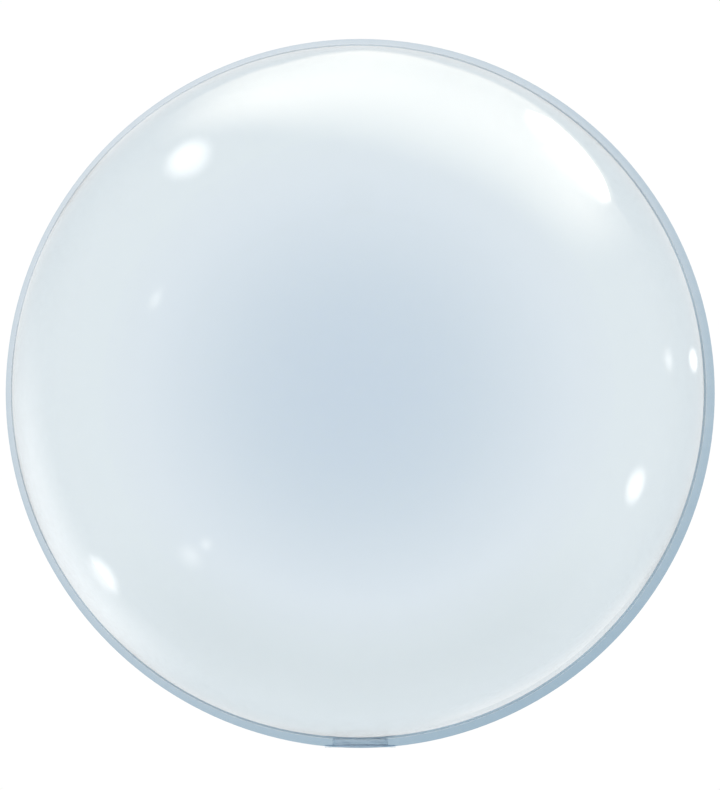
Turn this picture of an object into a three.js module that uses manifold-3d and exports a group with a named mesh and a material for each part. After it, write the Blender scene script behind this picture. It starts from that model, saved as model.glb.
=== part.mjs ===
// Clear bubble balloon, blown up and lying on its back.
//
// Two round sheets of clear stretch film are welded together all the way round. Blown up, each sheet
// stretches into a smooth cap of a sphere, and the weld stands out between the two domes as a thin flat rim.
// At one side both sheets run on past the rim as a flat neck, welded shut across its root. The neck is
// creased back at the rim and hangs down beside the lower dome. The film is one sealed skin, so the air
// inside it counts as part of the solid.
//
// Millimetres, +Z up. The origin is on the floor under the middle of the rim. The neck is on the -Y side.

import * as THREE from 'three';
import { mergeVertices } from 'three/addons/utils/BufferGeometryUtils.js';
import Module from 'manifold-3d';

// The two domes: across, where they meet the weld, and from pole to pole before the lower one lies flat
const BUBBLE_DIAMETER = 549.6;
const BUBBLE_DEPTH = 508;
const FLAT_SPOT_DIAMETER = 64;

// The weld is widest on the side away from this direction, because the domes sit a little towards it
const WELD_NARROWEST = 3.4;
const WELD_WIDEST = 7;
const WELD_NARROWEST_AT = THREE.MathUtils.degToRad(140);

// Two sheets of film pressed together, as in the rim and the neck
const PRESSED_FILM_THICKNESS = 0.6;

// The neck, from its crease at the rim down to its mouth
const NECK_WIDTH = 44;
const NECK_SHOULDER_RADIUS = 6;
const NECK_STRAIGHT_LENGTH = 62;
const NECK_CURL_LENGTH = 18;
const NECK_CURL_RADIUS = 70;
const NECK_LEAN = THREE.MathUtils.degToRad(6);
const NECK_CREASE_RADIUS = 1.6;
const NECK_ROOT_OVERLAP = 3;

// Facets
const SEGMENTS_ROUND = 80;
const SEGMENTS_DOME = 17;
const SEGMENTS_CREASE = 5;
const SEGMENTS_CURL = 5;
const SEGMENTS_SHOULDER = 4;

const bubbleRadius = BUBBLE_DIAMETER / 2;
const domeHeight = BUBBLE_DEPTH / 2;
const flatSpotRadius = FLAT_SPOT_DIAMETER / 2;

// Each dome is a cap of a sphere, whose centre lies a little beyond the rim on the other dome's side
const sphereRadius = (bubbleRadius ** 2 + domeHeight ** 2) / (2 * domeHeight);
const centreBeyondRim = sphereRadius - domeHeight;
const rimHeight = Math.sqrt(sphereRadius ** 2 - flatSpotRadius ** 2) - centreBeyondRim;

// The round weld, and the domes' place inside it
const rimRadius = bubbleRadius + (WELD_NARROWEST + WELD_WIDEST) / 2;
const bubbleShift = (WELD_WIDEST - WELD_NARROWEST) / 2;
const bubbleX = bubbleShift * Math.cos(WELD_NARROWEST_AT);
const bubbleY = bubbleShift * Math.sin(WELD_NARROWEST_AT);

const wasm = await Module();
wasm.setup();

// A closed geometry as a solid that can be joined and cut
function toSolid(geometry) {
  const bare = geometry.clone();
  bare.deleteAttribute('normal');
  bare.deleteAttribute('uv');
  const merged = mergeVertices(bare, 1e-4);
  return new wasm.Manifold(new wasm.Mesh({
    numProp: 3,
    vertProperties: new Float32Array(merged.attributes.position.array),
    triVerts: new Uint32Array(merged.index.array),
  }));
}

// A solid as a geometry that a mesh can show
function toGeometry(solid) {
  const mesh = solid.getMesh();
  const geometry = new THREE.BufferGeometry();
  geometry.setAttribute('position', new THREE.BufferAttribute(mesh.vertProperties, 3));
  geometry.setIndex(new THREE.BufferAttribute(mesh.triVerts, 1));
  geometry.computeVertexNormals();
  return geometry;
}

// The two domes as one turned body, from the flat spot on the floor up to the top pole
function makeDomes() {
  const rimAngle = Math.asin(centreBeyondRim / sphereRadius);
  const flatSpotAngle = Math.acos(flatSpotRadius / sphereRadius);
  const profile = [new THREE.Vector2(0, 0)];
  for (let i = 0; i < SEGMENTS_DOME; i++) {
    const angle = THREE.MathUtils.lerp(flatSpotAngle, rimAngle, i / SEGMENTS_DOME);
    profile.push(new THREE.Vector2(
      sphereRadius * Math.cos(angle),
      rimHeight + centreBeyondRim - sphereRadius * Math.sin(angle),
    ));
  }
  for (let i = 0; i < SEGMENTS_DOME; i++) {
    const angle = THREE.MathUtils.lerp(rimAngle, Math.PI / 2, i / SEGMENTS_DOME);
    profile.push(new THREE.Vector2(
      sphereRadius * Math.cos(angle),
      rimHeight - centreBeyondRim + sphereRadius * Math.sin(angle),
    ));
  }
  profile.push(new THREE.Vector2(0, rimHeight + domeHeight));
  return new THREE.LatheGeometry(profile, SEGMENTS_ROUND)
    .rotateX(Math.PI / 2)
    .translate(bubbleX, bubbleY, 0);
}

// The welded rim: a thin flat disc whose middle is taken up by the domes
function makeRim() {
  return new THREE.CylinderGeometry(rimRadius, rimRadius, PRESSED_FILM_THICKNESS, SEGMENTS_ROUND)
    .rotateX(Math.PI / 2)
    .translate(0, 0, rimHeight);
}

// The neck's middle line seen from the side, as points (distance out from the rim's axis, height): out of
// the domes, over the crease, straight down with a lean towards the lower dome, and a curl out at the mouth
function neckMiddleLine() {
  const creaseCentre = new THREE.Vector2(
    rimRadius - PRESSED_FILM_THICKNESS / 2 - NECK_CREASE_RADIUS,
    rimHeight - NECK_CREASE_RADIUS,
  );
  const line = [new THREE.Vector2(bubbleRadius - bubbleY - NECK_ROOT_OVERLAP, rimHeight)];
  for (let i = 0; i <= SEGMENTS_CREASE; i++) {
    const angle = THREE.MathUtils.lerp(Math.PI / 2, -NECK_LEAN, i / SEGMENTS_CREASE);
    const spoke = new THREE.Vector2(Math.cos(angle), Math.sin(angle)).multiplyScalar(NECK_CREASE_RADIUS);
    line.push(spoke.add(creaseCentre));
  }
  const down = new THREE.Vector2(-Math.sin(NECK_LEAN), -Math.cos(NECK_LEAN));
  const outwards = new THREE.Vector2(Math.cos(NECK_LEAN), -Math.sin(NECK_LEAN));
  const curlStart = line.at(-1).clone().addScaledVector(down, NECK_STRAIGHT_LENGTH);
  const curlCentre = curlStart.clone().addScaledVector(outwards, NECK_CURL_RADIUS);
  for (let i = 0; i <= SEGMENTS_CURL; i++) {
    const turn = (NECK_CURL_LENGTH / NECK_CURL_RADIUS) * (i / SEGMENTS_CURL);
    line.push(curlStart.clone().rotateAround(curlCentre, turn));
  }
  return line;
}

// The band of film round that middle line, as one closed outline
function neckSideOutline() {
  const line = neckMiddleLine();
  const outer = [];
  const inner = [];
  line.forEach((point, i) => {
    const before = line[Math.max(i - 1, 0)];
    const after = line[Math.min(i + 1, line.length - 1)];
    const along = after.clone().sub(before).normalize();
    const across = new THREE.Vector2(-along.y, along.x).multiplyScalar(PRESSED_FILM_THICKNESS / 2);
    outer.push(point.clone().add(across));
    inner.push(point.clone().sub(across));
  });
  return new THREE.Shape([...outer, ...inner.reverse()]);
}

// The neck seen from the front: shoulders that sweep in from the rim, then parallel sides
function neckFrontOutline() {
  const half = NECK_WIDTH / 2;
  const wide = half + NECK_SHOULDER_RADIUS;
  const top = rimHeight + NECK_CREASE_RADIUS;
  const shoulder = rimHeight - NECK_CREASE_RADIUS - NECK_SHOULDER_RADIUS;
  const bottom = shoulder - NECK_STRAIGHT_LENGTH - NECK_CURL_LENGTH;
  return new THREE.Shape()
    .moveTo(-half, bottom)
    .lineTo(half, bottom)
    .absarc(wide, shoulder, NECK_SHOULDER_RADIUS, Math.PI, Math.PI / 2, true)
    .lineTo(wide, top)
    .lineTo(-wide, top)
    .absarc(-wide, shoulder, NECK_SHOULDER_RADIUS, Math.PI / 2, 0, true);
}

// The neck: its side outline drawn out across its width, and trimmed to its front outline
function makeNeck() {
  const fullWidth = NECK_WIDTH + 2 * NECK_SHOULDER_RADIUS;
  const band = new THREE.ExtrudeGeometry(neckSideOutline(), { depth: fullWidth, bevelEnabled: false })
    .translate(0, 0, -fullWidth / 2)
    .rotateX(Math.PI / 2)
    .rotateZ(-Math.PI / 2);
  const front = new THREE.ExtrudeGeometry(neckFrontOutline(), {
    depth: rimRadius + PRESSED_FILM_THICKNESS,
    bevelEnabled: false,
    curveSegments: SEGMENTS_SHOULDER,
  }).rotateX(Math.PI / 2);
  return toSolid(band).intersect(toSolid(front));
}

const clearFilm = new THREE.MeshStandardMaterial({
  name: 'clear film',
  color: new THREE.Color(0.86, 0.91, 0.95),
  roughness: 0.05,
  metalness: 0,
  transparent: true,
  opacity: 0.35,
});

const skin = toSolid(makeDomes()).add(toSolid(makeRim())).add(makeNeck());
const bubble = new THREE.Mesh(toGeometry(skin), clearFilm);
bubble.name = 'bubble';

const balloon = new THREE.Group();
balloon.name = 'clear_bubble_balloon';
balloon.add(bubble);

export default balloon;
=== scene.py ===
import math

import bpy
from mathutils import Matrix, Vector


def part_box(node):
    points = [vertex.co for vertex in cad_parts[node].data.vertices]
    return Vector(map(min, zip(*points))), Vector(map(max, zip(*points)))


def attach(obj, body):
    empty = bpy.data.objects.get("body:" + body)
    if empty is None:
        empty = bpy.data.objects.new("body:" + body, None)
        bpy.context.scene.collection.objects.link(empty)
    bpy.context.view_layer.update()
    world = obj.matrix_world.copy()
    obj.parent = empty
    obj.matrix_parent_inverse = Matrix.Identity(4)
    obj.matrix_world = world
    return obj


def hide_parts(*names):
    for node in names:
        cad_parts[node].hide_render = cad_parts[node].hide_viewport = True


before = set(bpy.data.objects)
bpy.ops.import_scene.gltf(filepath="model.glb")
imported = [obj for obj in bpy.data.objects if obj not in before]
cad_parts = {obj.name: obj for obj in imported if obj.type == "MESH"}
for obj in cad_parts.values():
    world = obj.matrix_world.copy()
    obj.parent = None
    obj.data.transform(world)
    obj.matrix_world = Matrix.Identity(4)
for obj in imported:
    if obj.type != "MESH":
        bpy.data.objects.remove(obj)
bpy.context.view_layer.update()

# A clear bubble balloon, blown up and lying on its back on a light table, seen from straight above

# The bubble's sizes, in metres
BUBBLE_DIAMETER = 0.5496
BUBBLE_DEPTH = 0.508
FILM_THICKNESS = 0.0002
FLAT_SPOT_RINGS = 2
FLAT_SPOT_RING_WIDTH = 0.012

# The round weld, widest on the side away from this direction
WELD_NARROWEST = 0.0034
WELD_WIDEST = 0.007
WELD_NARROWEST_AT = math.radians(140)
WELD_THICKNESS = 0.0005
WELD_CLEARANCE = 0.00005

# The neck, from its crease at the rim down to its mouth
NECK_WIDTH = 0.044
NECK_THICKNESS = 0.0004
NECK_SHOULDER_RADIUS = 0.006
NECK_STRAIGHT_LENGTH = 0.062
NECK_CURL_LENGTH = 0.018
NECK_CURL_RADIUS = 0.07
NECK_LEAN = math.radians(6)
NECK_CREASE_RADIUS = 0.0016
NECK_CREASE_INSET = 0.0003
NECK_START_LENGTH = 0.0004
NECK_SEAM_WIDTH = 0.0035
NECK_SEAM_FADE = 0.0007
NECK_CROSS_WELD_DROP = 0.02
NECK_CROSS_WELD_WIDTH = 0.004
NECK_CROSS_WELD_FADE = 0.0004
MOUTH_LIP = 0.00012
MOUTH_DEPTH = 0.003

# How fine the round forms are
ROUND_SEGMENTS = 192
DOME_RINGS = 96
WELD_RINGS = 4
CREASE_STEPS = 8
SHOULDER_STEPS = 5
STRAIGHT_STEPS = 14
CURL_STEPS = 8
LAMP_SIDES = 48
SAME_POINT = 0.00002
FILM_SMOOTH_UP_TO = math.radians(7.5)
WELD_SMOOTH_UP_TO = math.radians(40)
NECK_SMOOTH_UP_TO = math.radians(50)

# The value that a noise texture's values lie round, and the numbers of sockets that share their names
NOISE_MIDDLE = 0.5
FIRST_COLOUR = 6
SECOND_COLOUR = 7
MIXED_COLOUR = 2
SHADER_BEHIND = 1
SHADER_IN_FRONT = 2

# The film's finish
FILM_IOR = 1.48
STRETCHED_ROUGHNESS = 0.03
WELD_ROUGHNESS = 0.12
PRESSED_ROUGHNESS = 0.05
HAZE_SCALE = 5
HAZE_SHARE = 0.2
WAVE_SCALE = 9
WAVE_HEIGHT = 0.0004
CRIMP_SCALE = 70
CRIMP_SHARE = 0.6
MELT_SCALE = 60
CRIMP_TINT_SHARE = 0.16
CRIMP_HEIGHT = 0.0004
RIPPLE_SCALE = 90
RIPPLE_HEIGHT = 0.0003

# The film's colours. Painted shade deepens the tint towards the poles. Near the weld the tint is deeper,
# partly because the film is less stretched there and partly as painted shade. Also how far from the weld it
# stays deeper in tint
STRETCHED = (0.85, 0.896, 0.917)
# Painted shade: the tint at the poles is deepened so that the middle of the bubble looks shaded
POLE_PAINTED_SHADE = (0.81, 0.863, 0.873)
POLE_SHADE_START = 0.2
# Partly the less stretched film's own deeper tint and partly painted shade along the dome's edge near the
# weld
LESS_STRETCHED_AND_SHADE = (0.675, 0.757, 0.802)
LESS_STRETCHED_SHADE_BAND = 0.12
# The weld's tint: lighter on the lit side, and deepened by painted shade towards the given direction
WELD_LIT_SIDE = (0.695, 0.765, 0.78)
WELD_SHADED_SIDE = (0.385, 0.505, 0.565)
WELD_SHADED_SIDE_AT = math.radians(-60)
# Painted light along the weld's inner edge, on the lit side: its colour, width and share
WELD_INNER_EDGE_LIGHT = (0.86, 0.9, 0.91)
WELD_INNER_LIGHT_WIDTH = 0.005
WELD_INNER_LIGHT_SHARE = 0.25
PRESSED = (0.985, 0.99, 0.995)
PRESSED_SEAM = (0.92, 0.95, 0.965)

# The photograph's frame, in pixels, and the round outline in it that the camera is set to
PHOTO_WIDTH = 720
PHOTO_HEIGHT = 790
OUTLINE_CENTRE_X = 360.25
OUTLINE_CENTRE_Y = 393.45
OUTLINE_RADIUS = 354.5
CAMERA_ABOVE_RIM = 3.2
SENSOR_LONG_SIDE = 36.0

# Light, floor and sky
FLOOR_SIZE = 40
FLOOR_DROP = 0.0004
FLOOR_GLOW = 1.01
SKY_LOW = (0.93, 0.92, 1.0)
SKY_OVERHEAD = (0.0, 0.19, 0.92)
SKY_FALL = 1.5
WHITE_LIGHT = (1.0, 0.965, 0.94)
WARM_LIGHT = (1.0, 0.91, 0.79)
PANEL_ROWS = 8
PANEL_LOWEST = 0.04

# Where the upper dome mirrors the lit panels. Each entry is a direction round the rim in degrees, and the
# panel's outer and inner line there, as shares of the rim's radius.
TOP_PANEL = (
    (131, 0.950, 0.89), (118, 0.957, 0.815), (103, 0.960, 0.725), (89, 0.972, 0.67), (75, 0.962, 0.635),
    (62, 0.958, 0.64), (50, 0.947, 0.65), (42, 0.931, 0.66), (36.5, 0.902, 0.665), (31, 0.900, 0.67),
    (26, 0.900, 0.68),
)
CORNER_PANEL = (
    (60, 0.930, 0.90), (55, 0.944, 0.838), (48, 0.935, 0.82), (42, 0.920, 0.83), (37, 0.890, 0.86),
)
LEFT_PANEL = (
    (155, 0.982, 0.89), (172, 0.982, 0.875), (186, 0.982, 0.865), (200, 0.982, 0.86), (211, 0.982, 0.86),
    (222, 0.982, 0.86), (233, 0.978, 0.86), (244, 0.975, 0.855),
)
RIGHT_PANEL = ((-85, 0.957, 0.91), (-65, 0.957, 0.91), (-45, 0.957, 0.91), (-22, 0.957, 0.91))
DIM_PANEL = (
    (-155, 0.925, 0.64), (-130, 0.925, 0.60), (-105, 0.925, 0.58), (-75, 0.925, 0.58), (-50, 0.925, 0.60),
    (-25, 0.925, 0.64),
)

# The panels. far is how far from the middle the far edge lies. rise and fall are the shares of the way from
# the outer to the inner line at which the light has come up to its edge's share, and at which it is fullest.
# The fades are the shares of the panel's length over which its two ends fade.
PANELS = (
    dict(
        name="lit_panel_top", lines=TOP_PANEL, far=0.9, colour=WARM_LIGHT, brightness=3.6,
        rise=0.05, fall=0.4, edge=0.33, start_fade=0.2, end_fade=0.35,
    ),
    dict(
        name="lit_panel_corner", lines=CORNER_PANEL, far=0.6, colour=WARM_LIGHT, brightness=6,
        rise=0.05, fall=0.3, edge=1, start_fade=0.1, end_fade=0.1,
    ),
    dict(
        name="lit_panel_left", lines=LEFT_PANEL, far=0.65, colour=WHITE_LIGHT, brightness=1.75,
        rise=0.45, fall=0.45, edge=1, start_fade=0.4, end_fade=0.35,
    ),
    dict(
        name="lit_panel_right", lines=RIGHT_PANEL, far=0.55, colour=WHITE_LIGHT, brightness=1.3,
        rise=0.1, fall=0.2, edge=1, start_fade=0.3, end_fade=0.3,
    ),
    dict(
        name="dim_panel", lines=DIM_PANEL, far=0.9, colour=WHITE_LIGHT, brightness=0.02,
        rise=0.45, fall=0.45, edge=1, start_fade=0.3, end_fade=0.3,
    ),
)

# The lamps. direction, in degrees, and share, of the rim's radius, say where the upper dome mirrors a lamp,
# and distance how far it stands from there. across and along are its highlight's size in pixels, and core is
# the share of its radius that is fully lit.
LAMPS = (
    dict(
        name="lamp_upper_left", direction=126.2, share=0.821, distance=0.6,
        across=46, along=62, brightness=5, core=0.3,
    ),
    dict(
        name="lamp_lower_left", direction=215.2, share=0.890, distance=0.4,
        across=28, along=54, brightness=4, core=0.3,
    ),
    dict(
        name="lamp_lower_right", direction=-18.6, share=0.8185, distance=0.6,
        across=25, along=48, brightness=5, core=0.3,
    ),
    dict(
        name="lamp_right", direction=5.7, share=0.944, distance=0.3,
        across=14, along=30, brightness=3, core=0.3,
    ),
    dict(
        name="faint_lamp_left", direction=155.1, share=0.637, distance=0.8,
        across=18, along=34, brightness=3.2, core=0,
    ),
    dict(
        name="faint_lamp_lower_left", direction=224, share=0.665, distance=0.8,
        across=30, along=40, brightness=3.4, core=0,
    ),
    dict(
        name="faint_lamp_low", direction=224.6, share=0.609, distance=0.8,
        across=20, along=20, brightness=3.0, core=0,
    ),
    dict(
        name="faint_lamp_right", direction=6.2, share=0.874, distance=0.5,
        across=16, along=34, brightness=2.6, core=0,
    ),
)

# What follows from the sizes and from the part's box
lowest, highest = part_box("bubble")
rim_radius = (highest.x - lowest.x) / 2
rim_height = highest.z - BUBBLE_DEPTH / 2
bubble_radius = BUBBLE_DIAMETER / 2
sphere_radius = (bubble_radius ** 2 + (BUBBLE_DEPTH / 2) ** 2) / BUBBLE_DEPTH
centre_beyond_rim = sphere_radius - BUBBLE_DEPTH / 2
narrowest_way = Vector((math.cos(WELD_NARROWEST_AT), math.sin(WELD_NARROWEST_AT), 0))
bubble_shift = narrowest_way * (WELD_WIDEST - WELD_NARROWEST) / 2

# How much of the rim's level one pixel of the photograph covers
pixel_size = rim_radius / OUTLINE_RADIUS


# Node trees

class Wire:
    """A node's output. Python's signs between wires and numbers add the Math nodes that work them out."""

    def __init__(self, tree, socket):
        self.tree = tree
        self.socket = socket

    def maths(self, operation, *values):
        return self.tree.node("ShaderNodeMath", {"operation": operation}, dict(enumerate(values)))

    def __add__(self, other):
        return self.maths("ADD", self, other)

    def __radd__(self, other):
        return self.maths("ADD", other, self)

    def __sub__(self, other):
        return self.maths("SUBTRACT", self, other)

    def __rsub__(self, other):
        return self.maths("SUBTRACT", other, self)

    def __mul__(self, other):
        return self.maths("MULTIPLY", self, other)

    def __rmul__(self, other):
        return self.maths("MULTIPLY", other, self)

    def __pow__(self, other):
        return self.maths("POWER", self, other)

    def __rpow__(self, other):
        return self.maths("POWER", other, self)

    def __abs__(self):
        return self.maths("ABSOLUTE", self)

    def ramp(self, start, end):
        """Rises softly from 0 to 1 as this goes from start to end, and stays level beyond them."""
        return self.tree.node(
            "ShaderNodeMapRange",
            {"interpolation_type": "SMOOTHSTEP"},
            {"Value": self, "From Min": start, "From Max": end},
        )


class Tree:
    """The empty node tree of a material or of the world."""

    def __init__(self, owner):
        owner.use_nodes = True
        self.nodes = owner.node_tree.nodes
        self.links = owner.node_tree.links
        self.nodes.clear()

    def node(self, kind, settings=None, inputs=None, output=0):
        """Adds a node, sets its settings first and then its inputs, and gives one of its outputs."""
        node = self.nodes.new(kind)
        for name, value in (settings or {}).items():
            setattr(node, name, value)
        for name, value in (inputs or {}).items():
            if isinstance(value, Wire):
                self.links.new(value.socket, node.inputs[name])
            else:
                node.inputs[name].default_value = value
        return Wire(self, node.outputs[output]) if node.outputs else None

    def parts(self, vector):
        """A vector's parts, each as a wire."""
        first = self.node("ShaderNodeSeparateXYZ", inputs={"Vector": vector})
        return [Wire(self, socket) for socket in first.socket.node.outputs]


def tint(tree, share, start, end):
    """A colour that goes from start to end as share goes from 0 to 1. Either may be a wire."""
    colours = [colour if isinstance(colour, Wire) else (*colour, 1.0) for colour in (start, end)]
    return tree.node(
        "ShaderNodeMix",
        {"data_type": "RGBA"},
        {"Factor": share, FIRST_COLOUR: colours[0], SECOND_COLOUR: colours[1]},
        output=MIXED_COLOUR,
    )


def noise(tree, place, scale):
    return tree.node("ShaderNodeTexNoise", inputs={"Vector": place, "Scale": scale, "Detail": 0.0})


def bump(tree, height, distance):
    return tree.node("ShaderNodeBump", inputs={"Height": height, "Distance": distance})


def see_through(name, roughness, build):
    """A see-through material. build gives its colour and its bump from the place on the piece."""
    material = bpy.data.materials.new(name)
    tree = Tree(material)
    place = tree.node("ShaderNodeTexCoord", output="Object")
    colour, relief = build(tree, place)
    shader = tree.node("ShaderNodeBsdfPrincipled", inputs={
        "Base Color": colour,
        "Roughness": roughness,
        "IOR": FILM_IOR,
        "Transmission Weight": 1.0,
        "Normal": relief,
    })
    tree.node("ShaderNodeOutputMaterial", inputs={"Surface": shader})
    return material


def clear_film():
    """Stretched film: glass clear with a cool tint. Painted shade deepens it towards the poles. Near the weld
    it is deeper too, partly because the film is less stretched there and partly as painted shade.
    """
    def build(tree, place):
        _, _, z = tree.parts(place)
        from_rim = abs(z - rim_height)
        haze = noise(tree, place, HAZE_SCALE) - NOISE_MIDDLE
        # Painted shade that deepens the tint towards the poles, with the haze's random tone on it
        pole_shade_and_haze = from_rim.ramp(POLE_SHADE_START, BUBBLE_DEPTH / 2) + HAZE_SHARE * haze
        # Deeper near the weld: partly the less stretched film, partly painted shade
        less_stretched_and_shade = from_rim.ramp(LESS_STRETCHED_SHADE_BAND, 0)
        colour = tint(tree, less_stretched_and_shade, tint(tree, pole_shade_and_haze, STRETCHED, POLE_PAINTED_SHADE), LESS_STRETCHED_AND_SHADE)
        return colour, bump(tree, noise(tree, place, WAVE_SCALE), WAVE_HEIGHT)
    return see_through("clear film", STRETCHED_ROUGHNESS, build)


def welded_film():
    """The round weld: two sheets melted together, with fine crimps across it. Painted shade deepens its tint
    on one side, most where the weld is widest, and painted light lightens it along its inner edge where it is
    narrow."""
    def build(tree, place):
        x, y, _ = tree.parts(place)
        along = x * math.cos(WELD_SHADED_SIDE_AT) + y * math.sin(WELD_SHADED_SIDE_AT)
        # 0 on the lit side, where the weld's tint is lightest, and 1 on the side where painted shade makes it
        # deepest
        shaded_side = along * (0.5 / rim_radius) + 0.5
        out = ((x - bubble_shift.x) ** 2 + (y - bubble_shift.y) ** 2) ** 0.5 - bubble_radius
        # Painted light along the inner edge, strongest on the lit side
        inner_edge_light = out.ramp(WELD_INNER_LIGHT_WIDTH, 0) * WELD_INNER_LIGHT_SHARE * (1 - shaded_side)
        direction = tree.node("ShaderNodeVectorMath", {"operation": "NORMALIZE"}, {"Vector": place})
        melt = noise(tree, place, MELT_SCALE)
        crimps = noise(tree, direction, CRIMP_SCALE) * CRIMP_SHARE + melt * (1 - CRIMP_SHARE)
        # The painted shade across the weld, with the crimps' own tint on it
        share = shaded_side + CRIMP_TINT_SHARE * (crimps - NOISE_MIDDLE)
        colour = tint(tree, share, WELD_LIT_SIDE, WELD_SHADED_SIDE)
        return tint(tree, inner_edge_light, colour, WELD_INNER_EDGE_LIGHT), bump(tree, crimps, CRIMP_HEIGHT)
    return see_through("welded film", WELD_ROUGHNESS, build)


def pressed_film():
    """The neck: clear sheets pressed together, milky where they are welded along the sides and across."""
    def build(tree, place):
        x, _, z = tree.parts(place)
        seam_start = NECK_WIDTH / 2 - NECK_SEAM_WIDTH
        seam = abs(x).ramp(seam_start, seam_start + NECK_SEAM_FADE)
        cross_weld_end = NECK_CROSS_WELD_WIDTH / 2
        from_cross_weld = abs(z - (rim_height - NECK_CROSS_WELD_DROP))
        cross_weld = from_cross_weld.ramp(cross_weld_end, cross_weld_end - NECK_CROSS_WELD_FADE)
        colour = tint(tree, seam, tint(tree, cross_weld, PRESSED, PRESSED_SEAM), PRESSED_SEAM)
        return colour, bump(tree, noise(tree, place, RIPPLE_SCALE), RIPPLE_HEIGHT)
    return see_through("pressed film", PRESSED_ROUGHNESS, build)


# Modelling

def choose(piece):
    bpy.ops.object.select_all(action="DESELECT")
    piece.select_set(True)
    bpy.context.view_layer.objects.active = piece


def edit(piece):
    choose(piece)
    bpy.ops.object.mode_set(mode="EDIT")
    bpy.ops.mesh.select_all(action="SELECT")


def leave_edit():
    bpy.ops.object.mode_set(mode="OBJECT")


def face_outwards():
    """In edit mode, turns all faces outwards, and then leaves it."""
    bpy.ops.mesh.select_all(action="SELECT")
    bpy.ops.mesh.normals_make_consistent(inside=False)
    leave_edit()


def select_by_place(piece, mode, test):
    """In edit mode, selects the edges or faces whose middle passes the test, in the part's own frame."""
    bpy.ops.mesh.select_mode(type=mode)
    leave_edit()
    mesh = piece.data
    for item in mesh.edges if mode == "EDGE" else mesh.polygons:
        corners = [mesh.vertices[i].co for i in item.vertices]
        item.select = test(piece.matrix_world @ (sum(corners, Vector()) / len(corners)))
    bpy.ops.object.mode_set(mode="EDIT")


def thicken(piece, thickness, offset):
    modifier = piece.modifiers.new("Thickness", "SOLIDIFY")
    modifier.thickness = thickness
    modifier.offset = offset
    bpy.context.view_layer.objects.active = piece
    bpy.ops.object.modifier_apply(modifier=modifier.name)


def settle(piece, name, material, smooth_up_to):
    """Puts the finished piece's place into its mesh, and gives it its name, material, body and slot."""
    choose(piece)
    bpy.ops.object.transform_apply(location=True, rotation=True, scale=True)
    bpy.ops.object.shade_smooth_by_angle(angle=smooth_up_to)
    piece.name = piece.data.name = name
    piece.data.materials.clear()
    piece.data.materials.append(material)
    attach(piece, "root")
    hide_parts("bubble")


def make_dome(centre_height, keep_above):
    """A sphere cut off level with the rim."""
    bpy.ops.mesh.primitive_uv_sphere_add(
        segments=ROUND_SEGMENTS,
        ring_count=DOME_RINGS,
        radius=sphere_radius,
        location=(bubble_shift.x, bubble_shift.y, centre_height),
    )
    dome = bpy.context.active_object
    edit(dome)
    bpy.ops.mesh.bisect(
        plane_co=(0, 0, rim_height),
        plane_no=(0, 0, 1),
        clear_inner=keep_above,
        clear_outer=not keep_above,
    )
    leave_edit()
    return dome


def make_bubble_film():
    """Both domes, joined at the weld, with the lower one flat where it lies on the floor."""
    upper = make_dome(rim_height - centre_beyond_rim, True)
    lower = make_dome(rim_height + centre_beyond_rim, False)
    edit(lower)
    bpy.ops.mesh.bisect(plane_co=(0, 0, lowest.z), plane_no=(0, 0, 1), clear_inner=True, use_fill=True)
    for _ in range(FLAT_SPOT_RINGS):
        bpy.ops.mesh.inset(thickness=FLAT_SPOT_RING_WIDTH)
    leave_edit()
    choose(upper)
    lower.select_set(True)
    bpy.ops.object.join()
    edit(upper)
    bpy.ops.mesh.remove_doubles(threshold=SAME_POINT)
    face_outwards()
    thicken(upper, FILM_THICKNESS, offset=-1)
    settle(upper, "bubble_film", clear_film(), FILM_SMOOTH_UP_TO)


def make_welded_rim():
    """The flat weld: the rim's circle drawn in, ring by ring, to the circle where the domes meet."""
    bpy.ops.mesh.primitive_circle_add(
        vertices=ROUND_SEGMENTS, radius=rim_radius, location=(0, 0, rim_height),
    )
    rim = bpy.context.active_object
    edit(rim)
    radius = rim_radius
    step = (rim_radius - bubble_radius - WELD_CLEARANCE) / WELD_RINGS
    for _ in range(WELD_RINGS):
        narrower = (radius - step) / radius
        bpy.ops.mesh.extrude_region_move()
        bpy.ops.transform.resize(value=(narrower, narrower, 1))
        bpy.ops.transform.translate(value=bubble_shift / WELD_RINGS)
        radius -= step
    face_outwards()
    thicken(rim, WELD_THICKNESS, offset=0)
    settle(rim, "welded_rim", welded_film(), WELD_SMOOTH_UP_TO)


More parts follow.
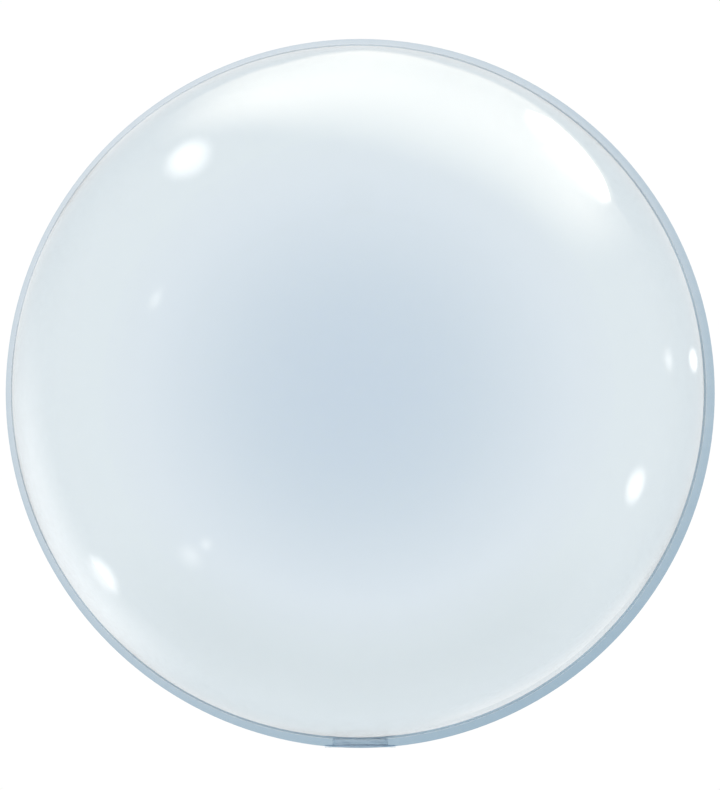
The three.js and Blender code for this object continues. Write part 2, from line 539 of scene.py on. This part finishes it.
def make_neck():
    """The flat neck: over the crease at the rim, down beside the lower dome, and open at its curled mouth."""
    crease = rim_radius - NECK_CREASE_INSET - NECK_CREASE_RADIUS
    crease_centre = Vector((0, -crease, rim_height - NECK_CREASE_RADIUS))
    half_width = NECK_WIDTH / 2 + NECK_SHOULDER_RADIUS
    bpy.ops.mesh.primitive_plane_add(size=1, location=(0, NECK_START_LENGTH / 2 - crease, rim_height))
    neck = bpy.context.active_object
    edit(neck)
    bpy.ops.transform.resize(value=(2 * half_width, NECK_START_LENGTH, 1))
    select_by_place(neck, "EDGE", lambda place: place.y < NECK_START_LENGTH / 4 - crease)
    bpy.ops.mesh.spin(
        steps=CREASE_STEPS, angle=-(math.pi / 2 + NECK_LEAN), center=crease_centre, axis=(1, 0, 0),
    )
    down = Vector((0, math.sin(NECK_LEAN), -math.cos(NECK_LEAN)))
    outwards = Vector((0, -math.cos(NECK_LEAN), -math.sin(NECK_LEAN)))
    drop = 0
    for step in range(1, SHOULDER_STEPS + 1):
        turn = math.pi / 2 * step / SHOULDER_STEPS
        lower = NECK_SHOULDER_RADIUS * (1 - math.cos(turn))
        narrower = NECK_WIDTH / 2 + NECK_SHOULDER_RADIUS * (1 - math.sin(turn))
        bpy.ops.mesh.extrude_region_move()
        bpy.ops.transform.translate(value=down * (lower - drop))
        bpy.ops.transform.resize(value=(narrower / half_width, 1, 1))
        drop = lower
        half_width = narrower
    straight_step = (NECK_STRAIGHT_LENGTH - NECK_SHOULDER_RADIUS) / STRAIGHT_STEPS
    for _ in range(STRAIGHT_STEPS):
        bpy.ops.mesh.extrude_region_move()
        bpy.ops.transform.translate(value=down * straight_step)
    curl = NECK_CURL_LENGTH / NECK_CURL_RADIUS
    curl_start = crease_centre + outwards * NECK_CREASE_RADIUS + down * NECK_STRAIGHT_LENGTH
    bpy.ops.mesh.spin(
        steps=CURL_STEPS, angle=curl, center=curl_start + outwards * NECK_CURL_RADIUS, axis=(1, 0, 0),
    )
    face_outwards()
    thicken(neck, NECK_THICKNESS, offset=0)
    mouth = min((neck.matrix_world @ vertex.co).z for vertex in neck.data.vertices) + NECK_THICKNESS
    edit(neck)
    select_by_place(neck, "FACE", lambda place: place.z < mouth)
    bpy.ops.mesh.inset(thickness=MOUTH_LIP)
    bpy.ops.mesh.extrude_region_move()
    up = Matrix.Rotation(curl, 3, "X") @ -down
    bpy.ops.transform.translate(value=up * MOUTH_DEPTH)
    leave_edit()
    settle(neck, "neck", pressed_film(), NECK_SMOOTH_UP_TO)


# Camera, floor and light

def add_camera():
    """Looks straight down, with the photograph's frame round the rim."""
    data = bpy.data.cameras.new("camera")
    camera = bpy.data.objects.new("camera", data)
    bpy.context.scene.collection.objects.link(camera)
    camera.location = (
        (PHOTO_WIDTH / 2 - OUTLINE_CENTRE_X) * pixel_size,
        (OUTLINE_CENTRE_Y - PHOTO_HEIGHT / 2) * pixel_size,
        rim_height + CAMERA_ABOVE_RIM,
    )
    data.sensor_width = SENSOR_LONG_SIDE
    data.lens = SENSOR_LONG_SIDE * CAMERA_ABOVE_RIM / (PHOTO_HEIGHT * pixel_size)
    bpy.context.scene.camera = camera
    return camera


def add_floor():
    """A plain pale floor that is lit from within, as a light table is, so that nothing shades it."""
    bpy.ops.mesh.primitive_plane_add(size=FLOOR_SIZE, location=(0, 0, -FLOOR_DROP))
    floor = bpy.context.active_object
    floor.name = "floor"
    material = bpy.data.materials.new("pale floor")
    tree = Tree(material)
    shader = tree.node("ShaderNodeEmission", inputs={"Strength": FLOOR_GLOW})
    tree.node("ShaderNodeOutputMaterial", inputs={"Surface": shader})
    floor.data.materials.append(material)


def add_sky():
    """Soft light from all round, white low down and blue and dimmer overhead."""
    world = bpy.data.worlds.new("soft light")
    bpy.context.scene.world = world
    tree = Tree(world)
    _, _, height = tree.parts(tree.node("ShaderNodeTexCoord", output="Generated"))
    overhead = tree.node("ShaderNodeClamp", inputs={"Value": height}) ** SKY_FALL
    colour = tint(tree, overhead, SKY_LOW, SKY_OVERHEAD)
    background = tree.node("ShaderNodeBackground", inputs={"Color": colour})
    tree.node("ShaderNodeOutputWorld", inputs={"Surface": background})


def mirrored_ray(camera, direction, share):
    """Where the camera's ray towards a point on the rim's level meets the upper dome, the way it is mirrored,
    and the way straight out of the dome there. The point is given by its direction in degrees and its share
    of the rim's radius."""
    turn = math.radians(direction)
    aim = Vector((math.cos(turn), math.sin(turn), 0)) * share * rim_radius + Vector((0, 0, rim_height))
    ray = (aim - camera.location).normalized()
    centre = Vector((bubble_shift.x, bubble_shift.y, rim_height - centre_beyond_rim))
    from_centre = camera.location - centre
    half_way = ray.dot(from_centre)
    half_chord_squared = half_way ** 2 - from_centre.length_squared + sphere_radius ** 2
    point = camera.location - ray * (half_way + math.sqrt(max(half_chord_squared, 0)))
    normal = (point - centre).normalized()
    return point, ray.reflect(normal), normal


def light_up(thing, colour, brightness, share_of):
    """Makes a thing glow softly over what is behind it. Only mirrored light shows it."""
    material = bpy.data.materials.new(thing.name)
    tree = Tree(material)
    clear = tree.node("ShaderNodeBsdfTransparent")
    glow = tree.node("ShaderNodeEmission", inputs={"Color": (*colour, 1.0), "Strength": brightness})
    mixed = tree.node("ShaderNodeMixShader", inputs={
        "Fac": share_of(tree),
        SHADER_BEHIND: clear,
        SHADER_IN_FRONT: glow,
    })
    tree.node("ShaderNodeOutputMaterial", inputs={"Surface": mixed})
    thing.data.materials.append(material)
    thing.visible_camera = False
    thing.visible_diffuse = False
    thing.visible_transmission = False
    thing.visible_shadow = False


def add_lamp(camera, name, direction, share, distance, across, along, brightness, core):
    """A small round lamp, placed so that the upper dome mirrors it at one point, where its highlight is so
    many pixels across the rim's direction and along it. Its light fades out from its core to its edge."""
    point, way, normal = mirrored_ray(camera, direction, share)
    # The dome shrinks what it mirrors, more so across the rim's direction than along it
    spread = 2 * distance / sphere_radius
    half_along = along * pixel_size * (1 + spread * normal.z) / 2
    half_across = across * pixel_size * (1 + spread / normal.z) / 2
    bpy.ops.mesh.primitive_circle_add(vertices=LAMP_SIDES, radius=1, fill_type="TRIFAN")
    lamp = bpy.context.active_object
    lamp.name = name
    sideways = Vector((0, 0, 1)).cross(way).normalized()
    facing = Matrix((sideways, way.cross(sideways), way)).transposed().to_4x4()
    lamp.matrix_world = (
        Matrix.Translation(point + way * distance) @ facing @ Matrix.Diagonal((half_along, half_across, 1, 1))
    )

    def share_of(tree):
        place = tree.node("ShaderNodeTexCoord", output="Object")
        length = {"operation": "LENGTH"}
        out = tree.node("ShaderNodeVectorMath", length, {"Vector": place}, output="Value")
        return out.ramp(1, core)
    light_up(lamp, WHITE_LIGHT, brightness, share_of)


def add_panel(camera, name, lines, far, colour, brightness, rise, fall, edge, start_fade, end_fade):
    """A lit panel beside the bubble, which the upper dome mirrors between an outer and an inner line. Its
    light rises from the outer line to edge, a share of its brightness, goes on up to all of it, and fades
    out from there towards the inner line. It also fades out towards both ends."""
    # The near edge lies low on the rays from the outer line, and the far edge on the rays from the inner line
    near_edge = []
    far_edge = []
    for direction, outer, inner in lines:
        point, way, _ = mirrored_ray(camera, direction, outer)
        near_edge.append(point + way * ((PANEL_LOWEST - point.z) / way.z))
        point, way, _ = mirrored_ray(camera, direction, inner)
        far_edge.append(point + way * ((far - point.xy.length) / way.xy.length))
    columns = len(lines)
    places = [
        near.lerp(away, row / PANEL_ROWS)
        for row in range(PANEL_ROWS + 1) for near, away in zip(near_edge, far_edge)
    ]
    faces = [
        (corner, corner + 1, corner + columns + 1, corner + columns)
        for row in range(PANEL_ROWS) for corner in range(row * columns, (row + 1) * columns - 1)
    ]
    mesh = bpy.data.meshes.new(name)
    mesh.from_pydata(places, [], faces)
    shares = mesh.uv_layers.new(name="shares")
    for loop in mesh.loops:
        row, column = divmod(loop.vertex_index, columns)
        shares.uv[loop.index].vector = (column / (columns - 1), row / PANEL_ROWS)
    panel = bpy.data.objects.new(name, mesh)
    bpy.context.scene.collection.objects.link(panel)

    def share_of(tree):
        along, out, _ = tree.parts(tree.node("ShaderNodeUVMap", {"uv_map": "shares"}))
        ends = along.ramp(0, start_fade) * along.ramp(1, 1 - end_fade)
        outer = out.ramp(0, rise) * (edge + (1 - edge) * out.ramp(0, fall))
        return ends * outer * out.ramp(1, fall)
    light_up(panel, colour, brightness, share_of)


bpy.context.scene.view_settings.view_transform = "Standard"
camera = add_camera()
add_floor()
add_sky()
for panel in PANELS:
    add_panel(camera, **panel)
for lamp in LAMPS:
    add_lamp(camera, **lamp)

make_bubble_film()
make_welded_rim()
make_neck()
